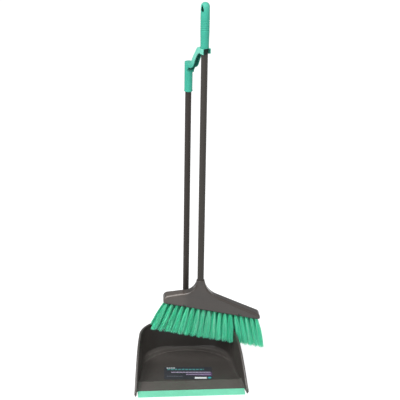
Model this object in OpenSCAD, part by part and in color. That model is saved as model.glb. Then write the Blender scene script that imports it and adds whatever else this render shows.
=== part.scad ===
// Long-handled dust pan and angled brush set, standing on the floor with the brush hung on its clip.
// Origin on the floor under the middle of the pan; +X right, +Y towards the handles, +Z up; millimetres.

/* [Pan] */
// Width across the front ends of the side walls
pan_w = 280; // [270:1:290]
// Angle by which each side wall closes in towards the back
side_angle = 6.6; // [5:0.1:8]
// Outer radius of the two back corners
corner_r = 85; // [75:1:90]
// Back face of the back wall
pan_back_y = 120; // [115:1:122]
// Front ends of the side walls
wall_front_y = -113; // [-113:1:-110]
// Height of the back wall
rim_z = 87; // [80:1:95]
// Height of the side walls at their front ends
rim_front_z = 14; // [12:1:18]
// Where the rising side walls reach their full height
rim_full_y = 17; // [10:1:25]
// Thickness of the pan's walls
wall_t = 2.4; // [2:0.1:3]
// Thickness of the rolled rim
bead_t = 6; // [5:0.1:7]
// Thickness of the pan's floor
floor_t = 3; // [2.5:0.1:3.5]
// Height of the ridge at the top of the ramp
ridge_z = 9; // [7:0.5:10]
// Place of that ridge
ridge_y = -57; // [-60:1:-54]

/* [Rubber lip] */
// Width of the rubber lip
lip_w = 262; // [255:1:264]
// Front edge of the rubber lip
lip_front_y = -118; // [-120:1:-116]
// Back edge of the rubber lip
lip_back_y = -94; // [-96:1:-92]
// Thickness of the lip at its back edge
lip_t = 4.2; // [3.6:0.1:4.6]

/* [Pan handle] */
// Outer diameter of the pan's steel tube
pan_tube_d = 15; // [15:1:15]
// Distance of the pan's tube behind the origin
pan_tube_y = 116; // [115:1:118]
// Lower end of the clip handle's sleeve
sleeve_z = 703; // [690:1:715]
// Top of the clip handle's cap
cap_z = 776; // [774:1:778]
// Outer diameter of the sleeve
sleeve_d = 19.6; // [19:0.1:20]

/* [Brush] */
// Outer diameter of the brush's steel tube
broom_tube_d = 16; // [16:1:16]
// Sideways place of the brush's tube
broom_x = 32.3; // [30:0.1:34]
// Front to back place of the brush's tube
broom_y = 60; // [58:1:62]
// Top of the moulded socket of the brush head
socket_top_z = 227.5; // [226:0.5:229]
// Top of the hand grip
grip_top_z = 935; // [930:1:940]
// Lower end of the hand grip
grip_z = 825.8; // [825.8:0.1:826.2]
// Slope of the brush head's lower face
head_slope = 12.17; // [11.5:0.01:12.5]
// Length of the bristles below the head
bristle_len = 73; // [65:1:75]
// Number of tufts along one row
tufts_per_row = 18; // [18:1:18]

/* [Clip] */
// Top of the clip's ring, just under the grip
ring_top_z = 825.5; // [825:0.1:825.5]
// Height of the clip's ring
ring_h = 13; // [12:1:14]
// Half of the angle that the ring leaves open
mouth_half_angle = 42; // [38:1:46]

/* [Hidden] */
$fn = 48;
eps = 0.02;
dark_plastic = [0.29, 0.27, 0.26];
mint = [0.42, 0.80, 0.66];
steel_wall = 0.6;

// pan plan: centre of the right back corner's arc, which meets the back and the side wall smoothly
corner_y = pan_back_y - corner_r;
corner_x = pan_w / 2 - (corner_r + (corner_y - wall_front_y) * sin(side_angle)) / cos(side_angle);
rim_rise_y = -106;
rim_steps = 10;
bead_h = 5;
tongue_y = -105;
tongue_w = 256;
tongue_z = [1, 1.9];
lip_edge_t = 0.9;
ramp_t = 2.4;
ramp_foot_z = 4.2;
ridge_fall = 4;

// socket of the pan's tube on the back wall
boss_d = 22;
boss_z = [62, 112];
boss_taper = 12;
tube_foot_z = 64;
screw_z = 84;
screw_d = 3.5;
screw_head_d = 7;
screw_head_h = 2.4;
spot_face_y = pan_tube_y + boss_d / 2 - 1.4;
screw_tip_y = pan_tube_y - 1;

// clip arm, in a frame at the pan's tube with +X towards the brush's tube
tube_top_z = cap_z - 10;
arm_dx = broom_x;
arm_dy = broom_y - pan_tube_y;
arm_len = norm([arm_dx, arm_dy]);
arm_turn = atan2(arm_dy, arm_dx);
arm_w = 16;
arm_wall = 2.4;
arm_roof = [[16.5, cap_z], [20, 782], [25, 791.5], [30.5, 801], [37.2, 811.5], [42.7, 820],
            [47.5, ring_top_z]];
arm_edge = [[49.5, 809.5], [46.4, 806.2], [43, 802], [38.3, 793.8], [33.8, 783.5], [30, 775], [26.5, 770.2],
            [17.3, 765.7], [13.9, 761.3], [10.7, 751.5]];
channel = [[5, 751.5], [5, 761], [8, 765.5], [13.5, 769.5], [18.5, 773], [22, 779], [27.1, 790],
           [32.6, 799.6], [39.3, 810], [44, 816.5], [50, 818.5], [50, 800],
           [45, 790], [40, 740], [12, 740], [12, 751.5]];
arch_r = 8.6;
ring_in_r = broom_tube_d / 2 + 0.3;
ring_wall = 3.1;
ring_out_r = ring_in_r + ring_wall;
ring_z = ring_top_z - ring_h;
jaw_s = arm_len - ring_in_r - 1.2;
prong_len = 6;
prong_t = 3.2;
collar_h = 3;

// label
label = [120, 60, 0.3];
label_centre = [-1.3, -13];
label_turn = -3.15;

// grip
grip_dome_r = 10.6;
grip_max_r = 10.85;
grip_shoulder = grip_top_z - grip_z - grip_dome_r;
grip_profile = [[9.8, 0], [10, 1.5], [10, 8], [10.25, 24], [10.6, 36], [grip_max_r, 46], [grip_max_r, 74],
                [grip_dome_r, 84], [grip_dome_r, grip_shoulder]];
grip_bore_top_z = 905;
groove_pitch = 4.4;
groove_z = 869.3;
groove_count = 6;
groove_r = 0.7;
hang_hole_r = 4.1;
hang_hole_z = 917.3;
hang_hole_tip_z = 930;
hang_hole_turn = -46.6;

// brush head, outline in X from the tube's axis and Z above the floor
head_left_x = -93.6;
head_right_x = 152;
head_left_z = 172;
head_half_y = 18;
head_wall = 2.4;
socket_r = 9.9;
socket_foot_z = 170;
thread_foot_z = 172;
tube_seat_z = 192;
plug_h = 22;
thread_r = 7;
thread_turns = 5;
thread_pitch = 3.6;
left_arc_r = 32.5;
left_arc_z = 227.5;
right_arc_r = 55;
right_arc_z = 232.6;
head_shoulder = [[0, 178], [3, 184], [10, 189], [20, 191.5]];
head_nose = [[142.5, 129.4, 1], [149, 124, 0.5]];
taper_angle = 28.1;
block_h = 7.4;
block_half_y = 14.2;
block_recess = 0.5;
block_slant_x = 132;
catch_x = [-40, 99];
catch_w = 8;
catch_z = 3;
catch_h = 2.6;

// tufts: roots along the head, rows front to back, and lean angles from upright, to the right positive
tuft_pitch = 13.2;
row_first_x = [-84, -77.4, -84, -77.4];
row_tufts = [tufts_per_row, tufts_per_row - 1, tufts_per_row, tufts_per_row - 1];
row_y = [-10.8, -3.6, 3.6, 10.8];
row_splay = [-7.5, -2.5, 2.5, 7.5];
tuft_root_r = 2.4;
tuft_tip_r = 5.3;
hole_r = 2.5;
hole_depth = 4.8;
root_h = 3.7;
root_drop = 1.4;
cone_start_r = 1.6;
cone_start_drop = 0.6;
inner_tufts = [13, 13, 13, 12];
lean_left = -26;
lean_inner = [1.5, -6.5, -4, -8];
lean_outer = [10, 9, 7, 8];
lean_right = 12.5;
anchor = [0.6, 4.2, 0.8];
anchor_z = 4.2;

// height of the rim at a distance y from the origin
function rim_at(y) = y >= rim_full_y ? rim_z
    : rim_front_z + (rim_z - rim_front_z) * sin(90 * (y - rim_rise_y) / (rim_full_y - rim_rise_y));

// rim line from front to back, lowered by drop
function rim_line(drop) = concat(
    [[wall_front_y, rim_front_z / 2 - drop]],
    [for (i = [0 : rim_steps])
        let (y = rim_rise_y + i * (rim_full_y - rim_rise_y) / rim_steps)
        [y, rim_at(y) - drop]],
    [[pan_back_y + 5, rim_z - drop]]);

// height of the brush head's lower face at a distance x from the tube's axis
function head_foot(x) = head_left_z - (x - head_left_x) * tan(head_slope);

// plan of the pan, drawn in by inset; the front edge is at front_y
module pan_plan(inset, front_y) {
    r = corner_r - inset;
    side_x = corner_x + r * cos(side_angle);
    side_y = corner_y + r * sin(side_angle);
    front_x = side_x + (side_y - front_y) * tan(side_angle);
    polygon([[-front_x, front_y], [front_x, front_y], [side_x, side_y], [corner_x, corner_y + r],
             [-corner_x, corner_y + r], [-side_x, side_y]]);
    for (s = [-1, 1])
        translate([s * corner_x, corner_y])
            circle(r = r, $fn = 96);
}

// a profile in Y and Z, drawn along X over the width w
module along_x(w) {
    translate([-w / 2, 0, 0])
        rotate([90, 0, 90])
            linear_extrude(w)
                children();
}

module pan_walls() {
    intersection() {
        linear_extrude(rim_z)
            difference() {
                pan_plan(0, wall_front_y);
                pan_plan(wall_t, wall_front_y - 10);
            }
        along_x(pan_w + 10)
            polygon(concat([[wall_front_y, 0]], rim_line(0), [[pan_back_y + 5, 0]]));
    }
}

module rim_bead() {
    lower = rim_line(bead_h);
    intersection() {
        linear_extrude(rim_z)
            difference() {
                pan_plan(0, wall_front_y);
                pan_plan(bead_t, wall_front_y - 10);
            }
        along_x(pan_w + 10)
            polygon(concat(rim_line(0), [for (i = [len(lower) - 1 : -1 : 0]) lower[i]]));
    }
}

module pan_floor() {
    ridge_back_y = ridge_y + ridge_fall;
    intersection() {
        linear_extrude(rim_z)
            pan_plan(0.5, lip_back_y);
        along_x(pan_w)
            polygon([[lip_back_y, tongue_z[0]], [lip_back_y, ramp_foot_z], [ridge_y, ridge_z],
                     [ridge_back_y, floor_t], [pan_back_y, floor_t], [pan_back_y, 0],
                     [ridge_back_y, 0], [ridge_y - 2, ridge_z - ramp_t],
                     [lip_back_y + 4, ramp_foot_z - ramp_t]]);
    }
    along_x(tongue_w)
        translate([tongue_y, tongue_z[0]])
            square([lip_back_y - tongue_y + 1, tongue_z[1] - tongue_z[0]]);
}

module pan_shell() color(dark_plastic) {
    difference() {
        union() {
            pan_walls();
            rim_bead();
            pan_floor();
            translate([0, pan_tube_y, boss_z[0]])
                cylinder(d = boss_d, h = boss_z[1] - boss_z[0]);
            translate([0, pan_tube_y, boss_z[0] - boss_taper])
                cylinder(d1 = boss_d / 2, d2 = boss_d, h = boss_taper);
        }
        translate([0, pan_tube_y, tube_foot_z])
            cylinder(d = pan_tube_d, h = rim_z);
        translate([0, pan_tube_y, screw_z])
            rotate([-90, 0, 0])
                cylinder(d = screw_d + 2 * eps, h = boss_d);
        translate([0, spot_face_y, screw_z])
            rotate([-90, 0, 0])
                cylinder(d = screw_head_d + 1, h = boss_d);
    }
}

module rubber_lip() color(mint) {
    along_x(lip_w)
        polygon([[lip_front_y, 0], [lip_front_y, lip_edge_t], [lip_back_y, lip_t],
                 [lip_back_y, tongue_z[1]], [tongue_y, tongue_z[1]], [tongue_y, tongue_z[0]],
                 [lip_back_y, tongue_z[0]], [lip_back_y, 0]]);
}

module pan_tube() color(dark_plastic) {
    difference() {
        translate([0, pan_tube_y, tube_foot_z])
            cylinder(d = pan_tube_d, h = tube_top_z - tube_foot_z);
        translate([0, pan_tube_y, tube_foot_z - 1])
            cylinder(d = pan_tube_d - 2 * steel_wall, h = tube_top_z - tube_foot_z + 2);
        translate([0, pan_tube_y, screw_z])
            rotate([-90, 0, 0])
                cylinder(d = screw_d + 2 * eps, h = pan_tube_d);
    }
}

module socket_screw() color("silver") {
    translate([0, screw_tip_y, screw_z])
        rotate([-90, 0, 0]) {
            cylinder(d = screw_d, h = spot_face_y - screw_tip_y + 0.5);
            difference() {
                translate([0, 0, spot_face_y - screw_tip_y])
                    cylinder(d = screw_head_d, h = screw_head_h);
                for (turn = [0, 90])
                    translate([0, 0, spot_face_y - screw_tip_y + screw_head_h])
                        rotate([0, 0, turn])
                            cube([0.9, 4, 2.4], center = true);
            }
        }
}

// the arm's side outline, from the sleeve at the left to the ring at the right
module arm_outline() {
    polygon(concat([[0, cap_z]], arm_roof, [[jaw_s, ring_top_z], [jaw_s, ring_z]], arm_edge, [[0, 751.5]]));
}

// a side outline drawn across the arm over the width w
module across_arm(w) {
    translate([0, w / 2, 0])
        rotate([90, 0, 0])
            linear_extrude(w)
                children();
}

module clip_arm() {
    difference() {
        across_arm(arm_w)
            arm_outline();
        difference() {
            across_arm(arm_w - 2 * arm_wall)
                polygon(channel);
            cylinder(r = arch_r, h = cap_z);
        }
    }
}

module clip_sleeve() {
    difference() {
        union() {
            translate([0, 0, sleeve_z])
                cylinder(d = sleeve_d, h = cap_z - sleeve_z);
            translate([0, 0, sleeve_z])
                cylinder(d = sleeve_d + 0.8, h = collar_h);
        }
        difference() {
            across_arm(arm_w - 2 * arm_wall)
                polygon(channel);
            cylinder(r = arch_r, h = cap_z);
        }
    }
}

module clip_handle() color(mint) {
    translate([0, pan_tube_y, 0])
        rotate([0, 0, arm_turn])
            difference() {
                union() {
                    clip_sleeve();
                    clip_arm();
                    translate([arm_len, 0, ring_z])
                        cylinder(r = ring_out_r, h = ring_h);
                    for (s = [-1, 1])
                        translate([arm_len, 0, ring_z])
                            rotate([0, 0, s * (mouth_half_angle + 9)])
                                translate([ring_in_r + 0.5, -prong_t / 2, 0])
                                    cube([prong_len, prong_t, ring_h]);
                }
                translate([0, 0, sleeve_z - 1])
                    cylinder(d = pan_tube_d, h = tube_top_z - sleeve_z + 1);
                translate([arm_len, 0, ring_z - 1])
                    cylinder(r = ring_in_r, h = ring_h + 2);
                translate([arm_len, 0, ring_z - 1])
                    linear_extrude(ring_h + 2)
                        polygon([[0, 0], 30 * [cos(mouth_half_angle), sin(mouth_half_angle)],
                                 30 * [cos(mouth_half_angle), -sin(mouth_half_angle)]]);
            }
}

module label_sticker() color([0.12, 0.13, 0.16]) {
    translate([label_centre[0], label_centre[1], floor_t + label[2] / 2])
        rotate([0, 0, label_turn])
            cube(label, center = true);
}

// a straight tube or rod of the brush, on the axis of its handle
module at_broom(z) {
    translate([broom_x, broom_y, z])
        children();
}

module broom_tube() color(dark_plastic) {
    tube_h = grip_bore_top_z - tube_seat_z;
    at_broom(tube_seat_z)
        difference() {
            cylinder(d = broom_tube_d, h = tube_h);
            translate([0, 0, -1])
                cylinder(d = broom_tube_d - 2 * steel_wall, h = tube_h + 2);
        }
}

module broom_grip() color(mint) {
    at_broom(grip_z)
        difference() {
            rotate_extrude($fn = 64)
                union() {
                    polygon(concat([[0, 0]], grip_profile, [[0, grip_shoulder]]));
                    intersection() {
                        translate([0, grip_shoulder])
                            circle(r = grip_dome_r);
                        translate([0, grip_shoulder - 1])
                            square([grip_dome_r, grip_dome_r + 1]);
                    }
                }
            for (i = [0 : groove_count - 1])
                translate([0, 0, groove_z - grip_z + i * groove_pitch])
                    rotate_extrude($fn = 64)
                        translate([grip_max_r + 0.2, 0])
                            circle(r = groove_r, $fn = 24);
            translate([0, 0, -1])
                cylinder(d = broom_tube_d, h = grip_bore_top_z - grip_z + 1);
            translate([0, 0, hang_hole_z - grip_z])
                rotate([90, 0, hang_hole_turn])
                    linear_extrude(40, center = true)
                        union() {
                            circle(r = hang_hole_r);
                            polygon([[-hang_hole_r * 0.97, 1], [hang_hole_r * 0.97, 1],
                                     [0, hang_hole_tip_z - hang_hole_z]]);
                        }
        }
}

module threaded_ferrule() color([0.2, 0.2, 0.2]) {
    core_h = tube_seat_z - thread_foot_z - 1;
    at_broom(tube_seat_z) {
        cylinder(d = broom_tube_d - 2 * steel_wall, h = plug_h);
        translate([0, 0, -core_h])
            cylinder(r = thread_r - 1, h = core_h);
        for (i = [0 : thread_turns - 1])
            translate([0, 0, -2 - i * thread_pitch])
                rotate_extrude()
                    polygon([[0, 0], [thread_r - 0.1, 0], [thread_r - 0.1, -1], [thread_r - 1, -2.2],
                             [0, -2.2]]);
    }
}

// side outline of the head, drawn in by inset
module head_outline(inset) {
    left = head_left_x + inset;
    right = head_right_x - inset;
    foot = inset > 0 ? 5 : 0;
    left_arc_x = -socket_r - left_arc_r;
    right_arc_x = socket_r + right_arc_r;
    neck = socket_r - inset;
    polygon(concat(
        [[left, head_foot(left) - foot]],
        [for (p = head_shoulder)
            [left + p[0], p[1] - inset]],
        [for (a = [-95 : 12 : -11])
            [left_arc_x + (left_arc_r + inset) * cos(a), left_arc_z + (left_arc_r + inset) * sin(a)]],
        [[-neck, socket_top_z - 3], [neck, socket_top_z - 3]],
        [for (a = [180 + 14 : 8 : 270 - taper_angle])
            [right_arc_x + (right_arc_r + inset) * cos(a), right_arc_z + (right_arc_r + inset) * sin(a)]],
        [for (p = head_nose)
            [p[0] - inset, p[1] - p[2] * inset]],
        [[right, head_foot(right) + 1], [right, head_foot(right) - foot]]));
}

// the head's depth, wide at the foot and narrow at the socket, drawn in by inset
module head_depth(inset) {
    half = [for (p = [[0, head_half_y], [8, 17], [24, 14], [48, 12], [74, 7.5], [110, 7.5]])
               [p[1] - inset, p[0] - (p[0] == 0 ? 2 : 0)]];
    polygon(concat(half, [for (i = [len(half) - 1 : -1 : 0]) [-half[i][0], half[i][1]]]));
}

// from the frame of the sloping lower face, with its origin below the tube, to the object's frame
module on_head_foot() {
    translate([broom_x, broom_y, head_foot(0)])
        rotate([0, head_slope, 0])
            children();
}

module head_solid(inset) {
    intersection() {
        translate([broom_x, broom_y, 0])
            rotate([90, 0, 0])
                linear_extrude(60, center = true)
                    head_outline(inset);
        on_head_foot()
            along_x(400)
                head_depth(inset);
    }
}

module head_cover() color(dark_plastic) {
    difference() {
        union() {
            difference() {
                head_solid(0);
                head_solid(head_wall);
            }
            at_broom(socket_foot_z)
                cylinder(r = socket_r, h = socket_top_z - socket_foot_z);
        }
        at_broom(tube_seat_z)
            cylinder(d = broom_tube_d, h = 60);
        at_broom(thread_foot_z)
            cylinder(r = thread_r, h = 40);
        for (x = catch_x)
            on_head_foot()
                translate([x / cos(head_slope) - catch_w / 2, -30, catch_z])
                    cube([catch_w, 60, catch_h]);
    }
}

// the block's outline along the head's foot
module block_bar() {
    translate([(head_left_x + head_wall + 1.2) / cos(head_slope), -block_half_y, block_recess])
        cube([(head_right_x - head_left_x - 2 * head_wall - 8) / cos(head_slope), 2 * block_half_y, block_h]);
}

// distance of a tuft's root from the tube along the foot; every second row is set off by half a pitch
function root_x(i, row) = (row_first_x[row] + i * tuft_pitch) / cos(head_slope);

module bristle_block() color([0.2, 0.62, 0.45]) {
    on_head_foot()
        difference() {
            union() {
                difference() {
                    block_bar();
                    translate([block_slant_x, -20, block_h + 0.2])
                        rotate([0, taper_angle - head_slope + 0.6, 0])
                            cube([40, 40, 20]);
                }
                for (x = catch_x)
                    translate([x / cos(head_slope) - catch_w / 2 + 0.5, -block_half_y - 2, catch_z + 0.4])
                        cube([catch_w - 1, 2 * block_half_y + 4, catch_h - 0.8]);
            }
            for (row = [0 : 3], i = [0 : row_tufts[row] - 1])
                translate([root_x(i, row), row_y[row], -1])
                    cylinder(r = hole_r, h = hole_depth + 1);
        }
}

// lean of a tuft from upright: the wall of the pan parts the tufts to both sides
function lean(i, row) = i < inner_tufts[row]
    ? lean_left + (lean_inner[row] - lean_left) * pow(i / (inner_tufts[row] - 1), 0.9)
    : lean_outer[row]
        + (lean_right - lean_outer[row]) * (i - inner_tufts[row]) / (row_tufts[row] - 1 - inner_tufts[row]);

module tuft_row(row) {
    for (i = [0 : row_tufts[row] - 1]) {
        tilt = lean(i, row) + head_slope;
        cone_h = bristle_len / cos(tilt) - cone_start_drop;
        on_head_foot()
            translate([root_x(i, row), row_y[row], 0]) {
                translate([0, 0, -root_drop])
                    cylinder(r = tuft_root_r, h = root_h + root_drop);
                translate([0, 0, -cone_start_drop])
                    rotate([row_splay[row], 0, 0])
                        rotate([0, 180 - tilt, 0])
                            cylinder(r1 = cone_start_r, r2 = tuft_tip_r, h = cone_h);
            }
    }
}

module tufts_front_row() color(mint) tuft_row(0);
module tufts_second_row() color(mint) tuft_row(1);
module tufts_third_row() color(mint) tuft_row(2);
module tufts_back_row() color(mint) tuft_row(3);

module tuft_anchors() color("silver") {
    on_head_foot()
        for (row = [0 : 3], i = [0 : row_tufts[row] - 1])
            translate([root_x(i, row), row_y[row], anchor_z])
                cube(anchor, center = true);
}

pan_shell();
rubber_lip();
pan_tube();
socket_screw();
clip_handle();
label_sticker();
broom_tube();
broom_grip();
threaded_ferrule();
head_cover();
bristle_block();
tufts_front_row();
tufts_second_row();
tufts_third_row();
tufts_back_row();
tuft_anchors();
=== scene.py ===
from math import atan2, cos, degrees, exp, hypot, pi, sin, sqrt, tan, radians as rad
import bmesh
import bpy
from mathutils import Matrix, Vector


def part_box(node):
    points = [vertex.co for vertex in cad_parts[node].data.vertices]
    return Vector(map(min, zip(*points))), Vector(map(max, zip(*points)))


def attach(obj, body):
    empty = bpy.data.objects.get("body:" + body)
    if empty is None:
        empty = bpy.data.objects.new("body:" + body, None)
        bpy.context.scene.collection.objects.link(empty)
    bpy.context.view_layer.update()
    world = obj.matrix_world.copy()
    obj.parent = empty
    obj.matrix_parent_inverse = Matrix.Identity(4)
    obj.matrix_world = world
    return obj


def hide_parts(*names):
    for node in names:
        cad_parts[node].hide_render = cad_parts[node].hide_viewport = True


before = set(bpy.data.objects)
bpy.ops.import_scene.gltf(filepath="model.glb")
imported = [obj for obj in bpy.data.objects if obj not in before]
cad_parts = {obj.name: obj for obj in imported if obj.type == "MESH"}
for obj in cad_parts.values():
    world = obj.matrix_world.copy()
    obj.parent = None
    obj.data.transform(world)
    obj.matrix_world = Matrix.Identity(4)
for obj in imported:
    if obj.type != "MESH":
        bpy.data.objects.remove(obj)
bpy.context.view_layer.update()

# Long-handled dust pan with an angled brush hung on its clip. Metres, +Z up, lip towards -Y.
MM = 0.001
scene = bpy.context.scene


# ---- camera, light and floor
def add_object(name, data):
    obj = bpy.data.objects.new(name, data)
    scene.collection.objects.link(obj)
    return obj


def make_camera():
    """A long lens in front of the pan, above it and a little to one side."""
    azimuth, stand_off, height = rad(-4.625), 2.966, 1.735
    pitch, roll, aim_off, lens = rad(23.109), rad(0.971), rad(-0.427), 122.05
    turn = azimuth + aim_off
    ahead = Vector((-sin(turn) * cos(pitch), cos(turn) * cos(pitch), -sin(pitch)))
    level = Vector((cos(turn), sin(turn), 0))
    upright = level.cross(ahead)
    right = level * cos(roll) + upright * sin(roll)
    up = upright * cos(roll) - level * sin(roll)
    data = bpy.data.cameras.new("camera")
    data.lens, data.sensor_width = lens, 36
    camera = add_object("camera", data)
    turned = Matrix((right, up, -ahead)).transposed().to_4x4()
    place = Vector((sin(azimuth) * stand_off, -cos(azimuth) * stand_off, height))
    camera.matrix_world = Matrix.Translation(place) @ turned
    scene.camera = camera


def soft_box(name, place, aim, size, power):
    data = bpy.data.lights.new(name, "AREA")
    data.shape, data.size, data.size_y, data.energy = "RECTANGLE", size[0], size[1], power
    light = add_object(name, data)
    light.location = place
    light.rotation_euler = (Vector(aim) - Vector(place)).to_track_quat("-Z", "Y").to_euler()


def make_studio():
    """A pale floor under an even white sky, with a large box above and a weaker one on each side."""
    world = bpy.data.worlds.new("studio")
    world.use_nodes = True
    sky = world.node_tree.nodes["Background"].inputs
    sky["Color"].default_value, sky["Strength"].default_value = (1, 1, 1, 1), 0.45
    scene.world = world
    scene.view_settings.view_transform = "Standard"
    soft_box("top_box", (-0.7, -1.5, 3.0), (0, 0, 0.2), (2.4, 2.4), 120)
    soft_box("key_box", (-2.6, -2.6, 2.2), (0, 0, 0.4), (1.4, 1.4), 28)
    soft_box("fill_box", (2.8, -2.4, 1.8), (0, 0, 0.4), (1.4, 1.4), 8)
    bpy.ops.mesh.primitive_plane_add(size=30, location=(0, 0, -0.0002))
    floor = bpy.context.object
    floor.name = "studio_floor"
    floor.data.materials.append(painted("studio_floor", (0.3, 0.3, 0.3), roughness=0.9, glow=0.88))


# ---- materials
class NodeKit:
    """Short ways to add and join the nodes of self.tree."""

    def feed(self, socket, value):
        if isinstance(value, bpy.types.NodeSocket):
            self.tree.links.new(value, socket)
        else:
            socket.default_value = value

    def add(self, kind, inputs=None, **settings):
        node = self.tree.nodes.new(kind)
        for key, value in settings.items():
            setattr(node, key, value)
        for key, value in (inputs or {}).items():
            self.feed(node.inputs[key], value)
        return node

    def math(self, operation, *values):
        return self.add("ShaderNodeMath", dict(enumerate(values)), operation=operation).outputs[0]

    def times(self, a, b):
        return self.math("MULTIPLY", a, b)

    def plus(self, a, b):
        return self.math("ADD", a, b)

    def minus(self, a, b):
        return self.math("SUBTRACT", a, b)

    def vector(self, operation, *values):
        return self.add("ShaderNodeVectorMath", dict(enumerate(values)), operation=operation).outputs[0]

    def scaled(self, vector, factor):
        return self.add("ShaderNodeVectorMath", {0: vector, "Scale": factor}, operation="SCALE").outputs[0]

    def split(self, vector):
        return self.add("ShaderNodeSeparateXYZ", {"Vector": vector}).outputs

    def combined(self, **parts):
        return self.add("ShaderNodeCombineXYZ", parts).outputs[0]


BUMP_INPUTS = ("Height", "Strength", "Distance")


class Nodes(NodeKit):
    """A material whose Principled shader is fed by nodes."""

    def __init__(self, name):
        self.material = bpy.data.materials.new(name)
        self.material.use_nodes = True
        self.tree = self.material.node_tree
        self.shader = self.tree.nodes["Principled BSDF"]

    def place(self, scale=(1, 1, 1), turn=(0, 0, 0), origin=(0, 0, 0)):
        """Object coordinates, moved so that origin is at zero, then turned and scaled."""
        where = self.add("ShaderNodeTexCoord").outputs["Object"]
        moved = self.vector("SUBTRACT", where, origin)
        return self.add("ShaderNodeMapping", {"Vector": moved, "Rotation": turn, "Scale": scale}).outputs[0]

    def noise(self, vector, scale, detail=2.0):
        inputs = {"Vector": vector, "Scale": scale, "Detail": detail}
        return self.add("ShaderNodeTexNoise", inputs).outputs["Fac"]

    def mix(self, factor, low, high):
        """A colour between low and high; the numbers are the colour sockets of the Mix node."""
        return self.add("ShaderNodeMix", {0: factor, 6: low, 7: high}, data_type="RGBA").outputs[2]

    def stored(self, name):
        return self.add("ShaderNodeAttribute", attribute_name=name).outputs["Fac"]

    def span(self, value, low, high, to_low=0.0, to_high=1.0):
        inputs = {"Value": value, "From Min": low, "From Max": high, "To Min": to_low, "To Max": to_high}
        return self.add("ShaderNodeMapRange", inputs).outputs["Result"]

    def with_painted_light(self, colour, bloom_and_painted_sheen=0.0):
        """The colour, darker or lighter by the piece's stored painted light and shade, and whiter where it is
        lighter, a painted sheen.
        """
        stored = self.stored("painted_light")
        painted_sheen = self.times(self.math("MAXIMUM", stored, 0.0), bloom_and_painted_sheen)
        return self.vector("ADD", self.scaled(colour, self.plus(stored, 1.0)), painted_sheen)

    def surface(self, colour, rough, bump=None, **more):
        """The material with its shader fed; bump is (height, strength, distance)."""
        if bump:
            more["Normal"] = self.add("ShaderNodeBump", dict(zip(BUMP_INPUTS, bump))).outputs["Normal"]
        for label, value in {"Base Color": colour, "Roughness": rough, **more}.items():
            self.feed(self.shader.inputs[label.replace("_", " ")], value)
        return self.material


def rgba(colour, gain=1.0):
    return (*(min(1.0, c * gain) for c in colour), 1.0)


def painted(name, colour, roughness, glow):
    """A plain even finish with a very faint mottle; glow evens out a white backdrop."""
    n = Nodes(name)
    even = n.mix(n.noise(n.place(), 3.0), rgba(colour, 0.985), rgba(colour, 1.01))
    return n.surface(even, roughness, Emission_Color=(1, 1, 1, 1), Emission_Strength=glow)


def moulded_plastic(name, colour, roughness, grain=0.12, scuff=0.0, shine=0.5, bloom_and_painted_sheen=0.0):
    """Moulded plastic: even colour, a fine spark-eroded grain, faint flow marks and light scuffs."""
    n = Nodes(name)
    here = n.place()
    cloud = n.noise(here, 14.0, 3.0)
    flow = n.noise(n.place(scale=(1, 1, 0.25)), 60.0, 2.0)
    tone = n.span(n.plus(cloud, n.times(flow, 0.5)), 0.5, 1.0)
    body = n.mix(tone, rgba(colour, 0.93), rgba(colour, 1.07))
    scratches = n.noise(n.place(scale=(1, 9, 4), turn=(0.3, 0.5, 0.9)), 220.0, 2.0)
    wear_and_painted_light = n.span(scratches, 0.62, 0.72, 0.0, scuff)
    rough = n.plus(n.span(cloud, 0.3, 0.7, roughness - 0.03, roughness + 0.04), wear_and_painted_light)
    speck = n.noise(here, 900.0, 1.0)
    # The stored painted light and shade darken or lighten the colour, with a painted sheen where it is
    # lighter.
    return n.surface(n.with_painted_light(body, bloom_and_painted_sheen), rough, (speck, grain, 0.0002), Specular_IOR_Level=shine)


def soft_rubber(name, colour):
    """Matt rubber, chalky in patches, with a faint grain."""
    n = Nodes(name)
    here = n.place()
    bloom_and_painted_sheen = n.noise(here, 22.0, 4.0)
    grain = n.noise(here, 1300.0, 1.0)
    body = n.mix(n.span(bloom_and_painted_sheen, 0.35, 0.7), rgba(colour, 0.96), rgba(colour, 1.05))
    return n.surface(body, n.span(bloom_and_painted_sheen, 0.3, 0.7, 0.5, 0.62), (grain, 0.1, 0.0002), Sheen_Weight=0.15)


WELD_HALF = 0.6 * MM
# Above every tube, so no painted shade.
NO_PAINTED_SHADE_Z = 2.0


def powder_coat(name, colour, axis, painted_shade_z=NO_PAINTED_SHADE_Z):
    """Satin coated steel tube: orange peel, a faint weld seam on its back, and painted shade, near black,
    above a given height.
    """
    n = Nodes(name)
    here = n.place(origin=axis)
    peel = n.noise(here, 420.0, 2.0)
    streak = n.noise(n.place(scale=(1, 1, 0.02), origin=axis), 160.0, 2.0)
    apart = n.split(here)
    paint = n.mix(n.span(streak, 0.3, 0.7), rgba(colour, 0.94), rgba(colour, 1.06))
    # Painted shade: near black above that height, where the broom tube sits in the clip's ring.
    top_band = n.span(apart["Z"], painted_shade_z, painted_shade_z + 1.5 * MM)
    coat_and_painted_shade = n.mix(top_band, paint, rgba((0.006, 0.016, 0.013)))
    middle = n.math("LESS_THAN", n.math("ABSOLUTE", apart["X"]), WELD_HALF)
    seam = n.times(middle, n.math("GREATER_THAN", apart["Y"], 0.0))
    height = n.plus(n.times(peel, 0.35), n.times(seam, 0.5))
    rough = n.span(streak, 0.3, 0.7, 0.42, 0.5)
    return n.surface(coat_and_painted_shade, rough, (height, 0.2, 0.0003), Specular_IOR_Level=0.14)


def bright_zinc(name):
    """Zinc plated steel with a fine turned grain."""
    n = Nodes(name)
    turned = n.noise(n.place(scale=(1, 8, 1)), 700.0, 2.0)
    colour = n.mix(turned, (0.48, 0.49, 0.5, 1), (0.66, 0.67, 0.68, 1))
    return n.surface(colour, n.span(turned, 0.3, 0.7, 0.24, 0.36), (turned, 0.1, 0.0001), Metallic=1.0)


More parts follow.
